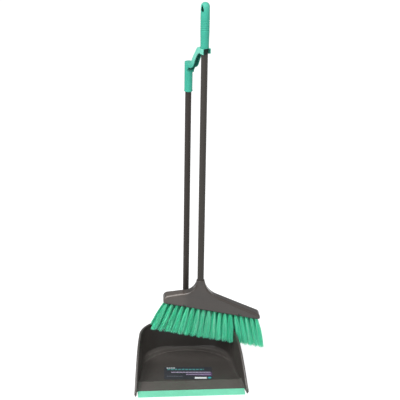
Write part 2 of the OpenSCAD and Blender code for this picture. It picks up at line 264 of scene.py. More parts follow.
def bristle_fibre(name, root, tip):
    """Crimped synthetic bristles: each has its own tone and is paler at its tip, and painted shade darkens
    the inner rows.
    """
    n = Nodes(name)
    tone = n.stored("tone")
    body = n.mix(n.span(n.stored("along"), 0.0, 1.0), rgba(root), rgba(tip))
    varied = n.mix(n.span(tone, 0.7, 1.0, 0.0, 0.8), body, rgba((0.45, 0.97, 0.75)))
    dark = n.mix(n.span(tone, 0.0, 0.4, 0.55, 0.0), varied, rgba((0.0, 0.16, 0.08)))
    # Painted shade: the inner rows, near the head's middle line, are darker, as if shaded by the outer rows.
    deep = n.split(n.place(origin=(0, BROOM_TUBE.y, 0)))["Y"]
    inner_row_painted_shade = n.span(n.math("ABSOLUTE", deep), 4 * MM, 9 * MM, 0.5, 0.0)
    colour = n.mix(inner_row_painted_shade, dark, rgba((0.0, 0.20, 0.10)))
    crimp = n.noise(n.place(scale=(1, 1, 0.35)), 900.0, 1.0)
    rough = n.span(crimp, 0.3, 0.7, 0.32, 0.45)
    return n.surface(colour, rough, (crimp, 0.15, 0.0002), Subsurface_Weight=0.25,
                     Subsurface_Radius=(0.002, 0.004, 0.003), Subsurface_Scale=0.5)


# ---- mesh building
def make_piece(name, points, faces, material, smooth=True):
    """A closed mesh piece at the origin, its doubles merged and its faces turned outwards."""
    mesh = bpy.data.meshes.new(name)
    mesh.from_pydata([tuple(p) for p in points], [], faces)
    tidy_mesh(mesh, smooth)
    mesh.materials.append(material)
    return add_object(name, mesh)


MERGE_DISTANCE = 0.002 * MM


def tidy_mesh(mesh, smooth=True):
    b = bmesh.new()
    b.from_mesh(mesh)
    bmesh.ops.remove_doubles(b, verts=b.verts, dist=MERGE_DISTANCE)
    bmesh.ops.dissolve_degenerate(b, edges=b.edges, dist=MERGE_DISTANCE)
    bmesh.ops.recalc_face_normals(b, faces=b.faces)
    for face in b.faces:
        face.smooth = smooth
    b.to_mesh(mesh)
    b.free()
    if smooth:
        mesh.set_sharp_from_angle(angle=rad(38))


def grid_faces(rows, columns, close_rows=False, close_columns=False):
    """Quads between the points of a grid stored row after row."""
    faces = []
    for i in range(rows if close_rows else rows - 1):
        here, there = i * columns, (i + 1) % rows * columns
        for j in range(columns if close_columns else columns - 1):
            after = (j + 1) % columns
            faces.append([here + j, here + after, there + after, there + j])
    return faces


def band_faces(rows, columns):
    """The skin of a closed section carried along rows, with a cap at each end."""
    last = (rows - 1) * columns
    caps = [list(range(columns)), [last + k for k in range(columns)][::-1]]
    return grid_faces(rows, columns, False, True) + caps


def mm(*pairs):
    """Pairs given in millimetres, in metres."""
    return [(u * MM, v * MM) for u, v in pairs]


def share_of(value, low, high):
    """How far value is on its way from low to high, kept between 0 and 1."""
    return max(0.0, min(1.0, (value - low) / (high - low)))


def ease(value, low, high):
    """Rises smoothly from 0 at low to 1 at high."""
    share = share_of(value, low, high)
    return share * share * (3 - 2 * share)


def read_off(table, at):
    """Straight-line reading, in metres, of a table of (place, value) in millimetres."""
    for (a0, v0), (a1, v1) in zip(table, table[1:]):
        if at <= a1 * MM:
            return (v0 + (v1 - v0) * max(0.0, (at - a0 * MM) / ((a1 - a0) * MM))) * MM
    return table[-1][1] * MM


def lathe(name, profile, centre, material, steps=96, ring=True):
    """Turns a profile of (radius, height) about a vertical; ring closes the profile on itself."""
    points = []
    for i in range(steps):
        turn = 2 * pi * i / steps
        out = (cos(turn), sin(turn))
        points += [Vector((centre[0] + r * out[0], centre[1] + r * out[1], z)) for r, z in profile]
    return make_piece(name, points, grid_faces(steps, len(profile), True, ring), material)


def flat(u, v, depth):
    return Vector((u, v, depth))


def prism(name, outline, low, high, material, place=flat):
    """A flat outline drawn between two depths; place turns (u, v, depth) into a point."""
    count = len(outline)
    points = [place(u, v, low) for u, v in outline] + [place(u, v, high) for u, v in outline]
    faces = [list(range(count))[::-1], list(range(count, 2 * count))]
    faces += [[i, (i + 1) % count, count + (i + 1) % count, count + i] for i in range(count)]
    return make_piece(name, points, faces, material, smooth=False)


def arc(centre, radius, start, end, steps):
    """Points (u, v) on an arc between two angles in degrees."""
    turns = [rad(start + (end - start) * k / steps) for k in range(steps + 1)]
    return [(centre[0] + radius * cos(t), centre[1] + radius * sin(t)) for t in turns]


def bake_modifiers(obj):
    """Replaces the mesh with the result of its modifiers."""
    graph = bpy.context.evaluated_depsgraph_get()
    graph.update()
    made = bpy.data.meshes.new_from_object(obj.evaluated_get(graph), depsgraph=graph)
    obj.modifiers.clear()
    old, obj.data = obj.data, made
    made.name = obj.name
    bpy.data.meshes.remove(old)


def join(name, pieces):
    """One object from several, with the first one's material."""
    whole = bmesh.new()
    for piece in pieces:
        whole.from_mesh(piece.data)
    material = pieces[0].data.materials[0]
    for piece in pieces:
        bpy.data.objects.remove(piece)
    mesh = bpy.data.meshes.new(name)
    whole.to_mesh(mesh)
    whole.free()
    mesh.materials.append(material)
    return add_object(name, mesh)


def melt(obj, voxel, rounds, keep=1.0):
    """Joins overlapping solids into one skin with soft moulded edges."""
    remesh = obj.modifiers.new("skin", "REMESH")
    remesh.mode, remesh.voxel_size, remesh.use_smooth_shade = "VOXEL", voxel, True
    if rounds:
        soften = obj.modifiers.new("soften", "SMOOTH")
        soften.factor, soften.iterations = 0.5, rounds
    if keep < 1:
        thin = obj.modifiers.new("thin", "DECIMATE")
        thin.ratio = keep
    material = obj.data.materials[0]
    bake_modifiers(obj)
    obj.data.materials.clear()
    obj.data.materials.append(material)
    smooth_faces(obj.data)
    return obj


def cut(obj, tool):
    """Takes the tool's shape out of obj."""
    change = obj.modifiers.new("cut", "BOOLEAN")
    change.object, change.operation, change.solver = tool, "DIFFERENCE", "EXACT"
    bake_modifiers(obj)
    bpy.data.objects.remove(tool)
    return obj


def settle(obj, body, node):
    """The piece rides on its body and stands for its CAD node."""
    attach(obj, body)
    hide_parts(node)


def store_values(mesh, name, values):
    mesh.attributes.new(name, "FLOAT", "POINT").data.foreach_set("value", values)


def painted_light(obj, rule):
    """Stores painted light and shade: how much darker or lighter the material is at each point of the piece.
    """
    store_values(obj.data, "painted_light", [rule(v.co, v.normal) for v in obj.data.vertices])


def smooth_faces(mesh):
    for face in mesh.polygons:
        face.use_smooth = True


# ---- sizes from the frame
def box_of(node):
    """Low and high corner of a CAD node's box, in metres."""
    low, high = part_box(node)
    return Vector(low), Vector(high)


pan_high = box_of("pan_shell")[1]
lip_low, lip_high = box_of("rubber_lip")
pan_tube_low, pan_tube_high = box_of("pan_tube")
broom_tube_low, broom_tube_high = box_of("broom_tube")
clip_low, clip_high = box_of("clip_handle")
grip_low, grip_high = box_of("broom_grip")
head_high = box_of("head_cover")[1]

PAN_TUBE = ((pan_tube_low + pan_tube_high) / 2).to_2d()
BROOM_TUBE = ((broom_tube_low + broom_tube_high) / 2).to_2d()
# Painted shade on the broom tube starts at this height, inside the clip's ring.
PAINTED_SHADE_Z = 811 * MM

# ---- the pan
SIDE_ANGLE = rad(6.6)
CORNER_R = 85 * MM
BACK_Y = 120 * MM
CORNER = Vector((37.3 * MM, BACK_Y - CORNER_R))
WALL_FRONT_Y = -113 * MM
RIM_Z = 87 * MM
RIM_FRONT_Z = 14 * MM
RIM_RISE_Y = -106 * MM
RIM_FULL_Y = 17 * MM
WALL_T = 2.4 * MM
BEAD_T = 6 * MM
DRAFT = 0.062
FLOOR_T = 3 * MM
RIDGE_Y = -57 * MM
RIDGE_Z = 9 * MM
RAMP_FOOT_Z = 4.2 * MM
STEP_H = 1.3 * MM
STEP_STARTS = (-1 * MM, 8 * MM)
STEP_RUN = 2.4 * MM
LIP_NOSE_T = 0.9 * MM
LIP_CORNER_R = 1.5 * MM


def rim_height(y):
    """Height of the rim: a rounded nose at the front, a quarter wave up to the full height, then level."""
    if y >= RIM_FULL_Y:
        return RIM_Z
    if y < RIM_RISE_Y:
        back = (RIM_RISE_Y - y) / (RIM_RISE_Y - WALL_FRONT_Y)
        return RIM_FRONT_Z * (0.45 + 0.55 * sqrt(max(0.0, 1 - back * back)))
    part = (y - RIM_RISE_Y) / (RIM_FULL_Y - RIM_RISE_Y)
    return RIM_FRONT_Z + (RIM_Z - RIM_FRONT_Z) * sin(part * pi / 2)


def half_stations(front_y, side_steps, corner_steps, back_steps):
    """Places round the right half of the rim, front to middle of the back: (point, way inwards, kind)."""
    tangent = CORNER + CORNER_R * Vector((cos(SIDE_ANGLE), sin(SIDE_ANGLE)))
    stations = []
    for i in range(side_steps):
        share = i / side_steps
        y = front_y + (tangent.y - front_y) * share
        x = tangent.x + (tangent.y - y) * tan(SIDE_ANGLE)
        lean = SIDE_ANGLE * share
        stations.append((Vector((x, y)), Vector((-cos(lean), -sin(lean))), "side"))
    for i in range(corner_steps + 1):
        turn = SIDE_ANGLE + (pi / 2 - SIDE_ANGLE) * i / corner_steps
        out = Vector((cos(turn), sin(turn)))
        stations.append((CORNER + CORNER_R * out, -out, "corner"))
    for i in range(1, back_steps + 1):
        stations.append((Vector((CORNER.x * (1 - i / back_steps), BACK_Y)), Vector((0, -1)), "back"))
    return stations


def mirrored(stations):
    """The left half, then the right half, as one run from the left front to the right front."""
    left = [(Vector((-p.x, p.y)), Vector((-n.x, n.y)), kind) for p, n, kind in stations]
    return left + stations[-2::-1]


def pan_wall(material):
    """The side and back walls as one closed band with a rolled rim."""
    points = []
    stations = mirrored(half_stations(WALL_FRONT_Y, 64, 30, 8))
    half_bead = BEAD_T / 2
    wall_out = (BEAD_T - WALL_T) / 2
    for p, n, _ in stations:
        top = rim_height(p.y)
        bead_h = min(5 * MM, top * 0.45)
        under = top - bead_h
        foot = DRAFT * under
        crown = half_bead * 0.9
        section = [(wall_out + foot, 0.0), (wall_out + foot * 0.5, under * 0.5), (wall_out, under)]
        section += [(0.15 * MM, under + 0.5 * MM), (0.0, top - crown)]
        for k in range(1, 8):
            turn = pi * (1 - k / 8)
            section.append((half_bead + half_bead * cos(turn), top - crown * (1 - sin(turn))))
        section += [(BEAD_T, top - crown), (BEAD_T - 0.15 * MM, under + 0.5 * MM)]
        inner = wall_out + WALL_T
        section += [(inner, under), (inner + foot * 0.5, under * 0.5), (inner + foot, 0.0)]
        points += [Vector((*(p + n * d), z)) for d, z in section]
    return make_piece("pan_wall", points, band_faces(len(stations), len(section)), material)


def floor_height(y):
    """Top of the floor before its edge curves: the ramp behind the lip, its ridge, and the level floor."""
    if y <= RIDGE_Y:
        share = (y - lip_high.y) / (RIDGE_Y - lip_high.y)
        return RAMP_FOOT_Z + (RIDGE_Z - RAMP_FOOT_Z) * share
    return RIDGE_Z + (FLOOR_T - RIDGE_Z) * ease(y, RIDGE_Y, RIDGE_Y + 4 * MM)


def floor_curve(p, kind):
    """Width and height of the curve between floor and wall: broad in the back corners, tight at the front."""
    if kind == "side":
        share = share_of(p.y, lip_high.y, lip_high.y + 130 * MM)
        return (2.5 + 13.5 * share ** 1.5) * MM, (2.5 + 8.5 * share ** 1.5) * MM
    if kind == "corner":
        turn = atan2(p.y - CORNER.y, abs(p.x) - CORNER.x)
        back = share_of(turn, SIDE_ANGLE, pi / 2)
        bulge = sin(pi * back) ** 1.5
        return (16 - 4 * back + 8 * bulge) * MM, 11 * MM
    return 12 * MM, 11 * MM


def terrace(at):
    """Two low rounded steps round the back of the floor, along a flat arch that meets the side walls."""
    across, ahead = abs(at.x) / (124 * MM), max(0.0, at.y + 30 * MM) / (133 * MM)
    beyond = ((across ** 2.2 + ahead ** 2.2) ** (1 / 2.2) - 1) * 118 * MM
    return STEP_H * sum(ease(beyond, start, start + STEP_RUN) for start in STEP_STARTS)


def pan_floor(material):
    """Ramp and floor as one closed plate whose edge curves up into the walls above two low steps."""
    cross = 8
    stations = mirrored(half_stations(lip_high.y, 78, 36, cross))
    rounds = 14
    tops, under, spans = [], [], []
    for p, n, kind in stations:
        first_corner = kind == "corner" and abs(abs(n.x) - cos(SIDE_ANGLE)) < 1e-6
        spans.append(kind == "side" or first_corner)
        top = rim_height(p.y)
        wide, high = floor_curve(p, kind)
        high = min(high, top - 9 * MM) if top > 14 * MM else 2 * MM
        start = (BEAD_T - WALL_T) / 2 + WALL_T + DRAFT * (top - high - 8 * MM) - 0.7 * MM
        reach = (abs(p.x) - CORNER.x) / abs(n.x) if kind == "side" else CORNER_R
        depths = []
        for k in range(rounds + 1):
            turn = k / rounds * pi / 2
            depths.append((start + wide * (1 - cos(turn)), high * (1 - sin(turn))))
        far = start + wide
        depths += [(far + (reach - far) * k / 64, 0.0) for k in range(1, 65)]
        row, low_row = [], []
        for d, rise in depths:
            at = p + n * d
            base = floor_height(at.y)
            row.append(Vector((*at, base + rise + terrace(at))))
            low_row.append(Vector((*at, max(0.0, base - WALL_T))))
        inner = p + n * reach
        for k in range(1, cross + 1):
            at = Vector((inner.x * (1 - k / cross), inner.y)) if spans[-1] else inner
            row.append(Vector((*at, floor_height(at.y))))
            low_row.append(Vector((*at, max(0.0, floor_height(at.y) - WALL_T))))
        tops += row
        under += low_row
    rows, columns = len(stations), len(row)
    shift, main = len(tops), columns - cross - 1
    faces = []
    for i in range(rows - 1):
        here, there = i * columns, (i + 1) * columns
        for j in range(columns - 1 if spans[i] and spans[i + 1] else main):
            quad = [here + j, here + j + 1, there + j + 1, there + j]
            faces += [quad, [shift + k for k in quad[::-1]]]
        faces.append([here, there, shift + there, shift + here])
    for base in (0, (rows - 1) * columns):
        for j in range(base, base + columns - 1):
            faces.append([j, j + 1, shift + j + 1, shift + j])
    return make_piece("pan_floor", tops + under, faces, material)


def pan_socket(material):
    """The tube's socket on the back wall, with a band round its top, a tapered foot and a rib on each side.
    """
    outer, bore = 11 * MM, pan_tube_high.x - PAN_TUBE.x
    top, low, seat = pan_high.z, 50 * MM, pan_tube_low.z
    profile = [(0.0, seat), (bore, seat), (bore, top - 0.8 * MM), (bore + 0.8 * MM, top)]
    top_band = mm((0.6, 0), (0, 0.6), (0, 7), (0.7, 8))
    profile += [(outer - inset, top - drop) for inset, drop in top_band]
    profile += [(outer - 0.5 * MM, 64 * MM), (outer - 1.5 * MM, 60 * MM)]
    profile += [(6 * MM, low + 1 * MM), (5 * MM, low), (0.0, low)]
    socket = lathe("pan_socket", profile, PAN_TUBE, material, 64, ring=False)
    ribs = []
    for side in (-1, 1):
        outline = mm((9.5, 52), (9.5, 84), (12, 84), (24, 60), (24, 56))
        ribs.append(prism("rib", outline, BACK_Y - 2.6 * MM, BACK_Y + 1.2 * MM, material,
                          lambda u, v, depth, s=side: Vector((s * u, depth, v))))
    return [socket, *ribs]


def make_pan(material):
    pan = join("pan_body", [pan_wall(material), pan_floor(material), *pan_socket(material)])
    tidy_mesh(pan.data)

    def wear_and_painted_light(at, normal):
        """Painted light: paler on the ramp and towards the back of the floor, and a painted highlight on the
        slopes of its two steps.
        """
        if at.z > 30 * MM or normal.z < 0.3:
            return 0.0
        if at.y < RIDGE_Y - 1 * MM:
            return 0.46
        step = terrace(at) / STEP_H % 1.0
        # Painted light lifts the back of the floor, and the step slopes get a painted highlight.
        floor_painted_light = 0.9 * ease(at.y, 30 * MM, 100 * MM) - 0.12 + 2.6 * step * (1 - step)
        return ease(normal.z, 0.3, 0.9) * floor_painted_light

    painted_light(pan, wear_and_painted_light)
    settle(pan, "dustpan", "pan_shell")


def make_lip(material):
    """The rubber lip: a wedge with a rounded nose, two fine grooves and rounded front corners."""
    depth = lip_high.y - lip_low.y
    spots = [0.0, 0.01, 0.03, 0.07, 0.2, 0.33, 0.36, 0.39, 0.42, 0.55]
    spots += [0.66, 0.69, 0.72, 0.75, 0.88, 0.93, 0.97, 1.0]
    grooves = (0.375, 0.705)
    points = []
    half = (lip_high.x - lip_low.x) / 2
    columns = 60
    for c in range(columns + 1):
        share = -1 + 2 * c / columns
        x = half * sin(share * pi / 2)
        near = max(0.0, LIP_CORNER_R - (half - abs(x)))
        pull = LIP_CORNER_R - sqrt(max(0.0, LIP_CORNER_R ** 2 - near ** 2))
        upper, lower = [], []
        for s in spots:
            y = lip_low.y + pull + (depth - pull) * s
            t = LIP_NOSE_T + (lip_high.z - LIP_NOSE_T) * s
            round_off = 1 - 0.55 * max(0.0, 1 - s / 0.03) - 0.12 * max(0.0, (s - 0.97) / 0.03)
            dip = sum(exp(-((s - g) / 0.014) ** 2) for g in grooves) * 0.35 * MM
            upper.append(Vector((x, y, t * round_off - dip)))
            lower.append(Vector((x, y, 0.0)))
        points += upper + lower[::-1]
    lip = make_piece("lip_rubber_strip", points, band_faces(columns + 1, 2 * len(spots)), material)
    settle(lip, "dustpan", "rubber_lip")


def make_tube(name, node, body, material):
    """A steel tube with rolled ends."""
    low, high = box_of(node)
    outer = (high.x - low.x) / 2
    inner, roll = outer - 0.6 * MM, 0.25 * MM
    centre = ((low + high) / 2).to_2d()
    rings = 24
    profile = [(outer - roll, low.z)]
    profile += [(outer, low.z + roll + (high.z - low.z - 2 * roll) * k / rings) for k in range(rings + 1)]
    profile += [(outer - roll, high.z), (inner, high.z), (inner, low.z)]
    settle(lathe(name, profile, centre, material, 72), body, node)


# ---- clip handle
RING_H = 13 * MM
RING_BORE = 8.3 * MM
RING_WALL = 3.1 * MM
MOUTH = 42
SLEEVE_R = 9.8 * MM
ARM_HALF = 8 * MM
ARM_WALL = 2.3 * MM
CAP_Z = 776 * MM
ARM_ROOF = ((4, 776), (16, 776), (18.5, 777.6), (21.5, 784), (25, 791.5), (30.5, 801), (37.2, 811.5),
            (42, 819.5), (44.5, 822.8), (48, 825.2))
ARM_EDGE = ((49.5, 809.5), (46.4, 806.2), (43, 802), (38.3, 793.8), (33.8, 783.5), (30, 775),
            (26.5, 770.2), (22, 767.4), (17.3, 765.7), (13.9, 761.3), (11.8, 756), (10.7, 751.5), (4, 751.5))


def make_clip(material):
    """Sleeve, cap, channel arm and sprung ring, moulded in one with soft edges."""
    reach = BROOM_TUBE - PAN_TUBE
    along = reach.normalized()
    across = Vector((-along.y, along.x))
    top = clip_high.z
    ring_low = top - RING_H
    sleeve_low = clip_low.z
    bore = pan_tube_high.x - PAN_TUBE.x

    def on_arm(u, v, depth):
        return Vector((*(PAN_TUBE + along * u + across * depth), v))

    foot_bead = mm((0.1, 0), (0.4, 0.6), (0.4, 2.6), (-0.1, 3.2))
    profile = [(bore, sleeve_low)] + [(SLEEVE_R + out, sleeve_low + up) for out, up in foot_bead]
    profile += [(SLEEVE_R, CAP_Z), (0.0, CAP_Z), (0.0, CAP_Z - 10 * MM), (bore, CAP_Z - 10 * MM)]
    sleeve = lathe("sleeve", profile, PAN_TUBE, material)
    arch = [(6 * cos(rad(a)), 757 + 7.5 * sin(rad(a))) for a in range(165, 0, -15)]
    arch = mm((-6, 757), *arch, (6, 757), (6, 751.5), (-6, 751.5))
    window = prism("window", arch, SLEEVE_R - 1.7 * MM, SLEEVE_R + 6 * MM, material,
                   lambda u, v, depth: Vector((*(PAN_TUBE + along * depth + across * u), v)))
    parts = [cut(sleeve, window)]
    jaw = (reach.length - RING_BORE) / MM - 1.2
    crest = (*ARM_ROOF, (jaw, 825.2), (jaw, 812.8))
    for s, edge in ((-1, (*ARM_EDGE[:9], (4, 765.7))), (1, ARM_EDGE)):
        depths = s * ARM_HALF, s * (ARM_HALF - ARM_WALL)
        parts.append(prism("arm_side", mm(*crest, *edge), *depths, material, on_arm))
    inside = [(u + 1.9, v - 2.2) for u, v in ARM_ROOF[7:0:-1]]
    roof = mm(*crest, (50, 812.8), (50, 818), (46, 818), *inside, (10, 770), (4, 770))
    parts.append(prism("arm_roof", roof, 0.3 * MM - ARM_HALF, ARM_HALF - 0.3 * MM, material, on_arm))
    heading = degrees(atan2(along.y, along.x))
    inner = arc(BROOM_TUBE, RING_BORE, heading + MOUTH, heading + 360 - MOUTH, 72)
    outer = arc(BROOM_TUBE, RING_BORE + RING_WALL, heading + 360 - MOUTH - 2, heading + MOUTH + 2, 72)
    parts.append(prism("ring", inner + outer, ring_low, top, material))
    for s in (-1, 1):
        turn = rad(heading + s * (MOUTH + 5))
        out = Vector((cos(turn), sin(turn)))
        flare = Matrix.Rotation(s * rad(12), 2) @ out
        edge = Vector((-flare.y, flare.x)) * 1.5 * MM
        root = BROOM_TUBE + out * (RING_BORE + 0.4 * MM)
        tip = BROOM_TUBE + out * RING_BORE + flare * 6.4 * MM
        outline = [(p.x, p.y) for p in (root + edge, tip + edge, tip - edge, root - edge)]
        parts.append(prism("prong", outline, ring_low + 0.2 * MM, top - 0.2 * MM, material))
    clip = melt(join("clip_and_sleeve", parts), 0.5 * MM, 3)

    def shade(at, normal):
        """Painted shade: darker in the ring, between the prongs, in the arm's channel and in the arch;
        painted light: paler on the arm.
        """
        local, near = at.to_2d() - PAN_TUBE, at.to_2d() - BROOM_TUBE
        u, w = local.dot(along), local.dot(across)
        if ring_low + 0.6 * MM < at.z < top - 0.6 * MM:
            if near.length < RING_BORE + 0.8 * MM:
                return -0.85
            if near.dot(along) > 5 * MM and abs(near.dot(across)) < 12 * MM:
                if -normal.to_2d().dot(across) * (1 if near.dot(across) > 0 else -1) > 0.5:
                    return -0.75
        in_channel = abs(w) < ARM_HALF - ARM_WALL + 0.5 * MM and u > 11 * MM
        if in_channel and at.z < read_off(ARM_ROOF, u) - 3.2 * MM:
            return -0.55
        bow = 1 - (w / (8.2 * MM)) ** 2
        if 0 < u < 12 * MM and bow > 0 and at.z < 757 * MM + 8.5 * MM * sqrt(bow):
            return -0.75 * ease(at.z, 752 * MM, 761 * MM)
        return 0.15 * ease(at.z, 766 * MM, 800 * MM)

    painted_light(clip, shade)
    settle(clip, "dustpan", "clip_handle")


# ---- grip
GRIP_SHAPE = ((0, 9.6), (1, 9.95), (8, 10), (24, 10.25), (36, 10.6), (46, 10.85), (74, 10.85), (84, 10.6),
              (98.6, 10.55))
GROOVE_Z, GROOVE_PITCH, GROOVE_DEPTH, GROOVE_HALF = 869.3 * MM, 4.4 * MM, 0.8 * MM, 1.0 * MM
HANG_HOLE_R, HANG_HOLE_Z, HANG_HOLE_TIP_Z = 4.1 * MM, 917.3 * MM, 930 * MM
HANG_TURN = rad(46.6)


def make_grip(material):
    """The hand grip: a swelling sleeve with a domed top, ring grooves and a drop-shaped hanging hole."""
    foot, top, bore_top = grip_low.z, grip_high.z, broom_tube_high.z
    bore = broom_tube_high.x - BROOM_TUBE.x
    grooves = [GROOVE_Z + k * GROOVE_PITCH for k in range(6)]
    shoulder = foot + GRIP_SHAPE[-1][0] * MM
    wall = []
    for k in range(331):
        z = foot + (shoulder - foot) * k / 330
        sunk = GROOVE_DEPTH * sum(exp(-((z - g) / GROOVE_HALF) ** 4) for g in grooves)
        wall.append((read_off(GRIP_SHAPE, z - foot) - sunk, z))
    dome_r = wall[-1][0]
    rise = top - shoulder
    dome = [(dome_r * cos(rad(a)), shoulder + rise * sin(rad(a))) for a in range(6, 91, 6)]
    profile = [(bore, foot)] + wall + dome[:-1] + [(0.0, top), (0.0, bore_top), (bore, bore_top)]
    grip = lathe("grip", profile, BROOM_TUBE, material, 144)
    waist = (HANG_HOLE_R * 0.5, HANG_HOLE_Z + (HANG_HOLE_TIP_Z - HANG_HOLE_Z) * 0.56)
    beak = (0.6 * MM, HANG_HOLE_TIP_Z - 0.8 * MM)
    drop = arc((0, HANG_HOLE_Z), HANG_HOLE_R, 168, 372, 28)
    drop += [waist, beak, (0, HANG_HOLE_TIP_Z), (-beak[0], beak[1]), (-waist[0], waist[1])]
    way = Vector((-sin(HANG_TURN), -cos(HANG_TURN)))
    side = Vector((-way.y, way.x))

    def through(u, v, depth):
        return Vector((*(BROOM_TUBE + side * u + way * depth), v))

    grip = cut(grip, prism("drop", drop, -20 * MM, 20 * MM, material, through))
    grip = melt(grip, 0.45 * MM, 2, keep=0.6)
    grip.name = "hand_grip"
    inside = GRIP_SHAPE[-1][1] * MM - 0.8 * MM

    def shade(at, normal):
        """Painted shade: dark inside the hanging hole; painted light: a little paler towards the top."""
        reach = hypot((at.to_2d() - BROOM_TUBE).length, max(0.0, at.z - shoulder))
        if at.z > bore_top and reach < inside:
            return -0.75
        return 0.12 * ease(at.z, 890 * MM, 930 * MM) - 0.08

    painted_light(grip, shade)
    settle(grip, "broom", "broom_grip")


# ---- brush head
HEAD_SLOPE = rad(12.17)
HEAD_LEFT = -93.6 * MM
HEAD_RIGHT = 152 * MM
HEAD_LEFT_Z = 172 * MM
HEAD_HALF = 18 * MM
HEAD_DEPTHS = ((0, 18), (6, 17.2), (24, 14.2), (48, 12), (74, 7.5), (120, 7.5))
SOCKET_R = 9.9 * MM
SOCKET_FOOT_Z = 196 * MM
CORNER_LEFT_R, SHOULDER_LEFT_R, SHOULDER_RIGHT_R, NOSE_R = 14 * MM, 32.5 * MM, 55 * MM, 10.8 * MM


def head_foot(x):
    """Height of the head's sloping lower face at a distance x from the tube."""
    return HEAD_LEFT_Z - (x - HEAD_LEFT) * tan(HEAD_SLOPE)


def head_outline():
    """Side outline of the cover as (x from the tube, height), clockwise from the lower left corner."""
    top = head_high.z
    left = [(HEAD_LEFT, head_foot(HEAD_LEFT))]
    left += arc((HEAD_LEFT + CORNER_LEFT_R, 177 * MM), CORNER_LEFT_R, 180, 98, 10)
    left += arc((-SOCKET_R - SHOULDER_LEFT_R, top), SHOULDER_LEFT_R, -96, -8, 18)
    right = arc((SOCKET_R + SHOULDER_RIGHT_R, top + 5.1 * MM), SHOULDER_RIGHT_R, 186, 241.9, 14)
    right += arc((HEAD_RIGHT - 11.6 * MM, head_foot(HEAD_RIGHT) + 4.6 * MM), NOSE_R, 64, -8, 12)
    for inset, rise in mm((1.6, 0.6), (3, 0)):
        right.append((HEAD_RIGHT - inset, head_foot(HEAD_RIGHT - inset) + rise))
    return left + [(-SOCKET_R, top - 1 * MM), (SOCKET_R, top - 1 * MM)] + right


def round_edges(obj, radius):
    """Rounds the front and back edges of the cover's outline, but not those along its lower face."""
    b = bmesh.new()
    b.from_mesh(obj.data)
    sides = (BROOM_TUBE.y - HEAD_HALF, BROOM_TUBE.y + HEAD_HALF)
    edges = []
    for edge in b.edges:
        ends = [v.co for v in edge.verts]
        on_face = any(all(abs(e.y - y) < 0.01 * MM for e in ends) for y in sides)
        on_foot = all(e.z - head_foot(e.x - BROOM_TUBE.x) < 0.1 * MM for e in ends)
        if on_face and not on_foot:
            edges.append(edge)
    bmesh.ops.bevel(b, geom=edges, offset=radius, segments=5, profile=0.5, affect="EDGES",
                    clamp_overlap=False)
    b.to_mesh(obj.data)
    b.free()


def make_head(material):
    """The angled cover: broad at its lower face, rounded along its top and drawn up into a round socket."""
    outline = head_outline()

    def place(u, v, depth):
        return Vector((BROOM_TUBE.x + u, BROOM_TUBE.y + depth, v))

    count = len(outline)
    points, layers = [], 9
    for k in range(layers):
        points += [place(u, v, (-1 + 2 * k / (layers - 1)) * HEAD_HALF) for u, v in outline]
    faces = [list(range(count))[::-1], [(layers - 1) * count + i for i in range(count)]]
    faces += grid_faces(layers, count, False, True)
    solid = make_piece("cover", points, faces, material, smooth=False)
    round_edges(solid, 5 * MM)
    solid = melt(solid, 1.3 * MM, 0)
    for v in solid.data.vertices:
        x = v.co.x - BROOM_TUBE.x
        h = (v.co.z - head_foot(x)) * cos(HEAD_SLOPE)
        v.co.y = BROOM_TUBE.y + (v.co.y - BROOM_TUBE.y) * read_off(HEAD_DEPTHS, h) / HEAD_HALF
    ends = (0.0, SOCKET_FOOT_Z), (SOCKET_R, SOCKET_FOOT_Z), (SOCKET_R, head_high.z), (0.0, head_high.z)
    socket = lathe("socket", ends, BROOM_TUBE, material, ring=False)

    def hollow(name, half, *corners):
        outline = [(x, head_foot(x) + rise) for x, rise in mm(*corners)]
        return prism(name, outline, -half, half, material, place)

    pocket = (-91, -1), (-91, 8.8), (126, 8.8), (143, 5.2), (145.8, 2.2), (145.8, -1)
    solid = cut(solid, hollow("pocket", 15 * MM, *pocket))
    head = melt(join("head_shell", [solid, socket]), 0.95 * MM, 8)
    for x in (-40, 99):
        cut(head, hollow("window", 25 * MM, (x - 4, 3), (x + 4, 3), (x + 4, 5.6), (x - 4, 5.6)))

    def painted_edge_highlight(at, normal):
        """Painted highlight: paler along the upper front edges, most of all on the left shoulder."""
        edge = 2 * max(0.0, normal.z) * max(0.0, -normal.y)
        left = 1 - ease(at.x - BROOM_TUBE.x, -48 * MM, -26 * MM)
        return (0.8 + 2.2 * left) * edge + 1.4 * left * ease(normal.z, 0.7, 0.95)

    painted_light(head, painted_edge_highlight)
    settle(head, "broom", "head_cover")


# ---- bristles
TUFTS = (18, 17, 18, 17)
TUFT_FIRST = (-84 * MM, -77.4 * MM) * 2
TUFT_PITCH = 13.2 * MM
ROW_Y = (-10.8, -3.6, 3.6, 10.8)
ROW_SPLAY = (-7.5, -2.5, 2.5, 7.5)
INNER_TUFTS = (13, 13, 13, 12)
LEAN_LEFT, LEAN_RIGHT = -26, 12.5
LEAN_INNER = (1.5, -6.5, -4, -8)
LEAN_OUTER = (10, 9, 7, 8)
BRISTLE_LENGTH = 73.5 * MM
ROOT_DEPTH = 2.5 * MM
WALL_GAP, GAP_CLOSE = 0.9 * MM, 0.17
FULL_REACH_X, FAR_PULL = 188 * MM, 0.4


def tuft_lean(i, row):
    """Lean of a tuft from upright; the pan's wall parts the tufts to both sides."""
    if i < INNER_TUFTS[row]:
        return LEAN_LEFT + (LEAN_INNER[row] - LEAN_LEFT) * (i / (INNER_TUFTS[row] - 1)) ** 0.9
    share = (i - INNER_TUFTS[row]) / (TUFTS[row] - 1 - INNER_TUFTS[row])
    return LEAN_OUTER[row] + (LEAN_RIGHT - LEAN_OUTER[row]) * share


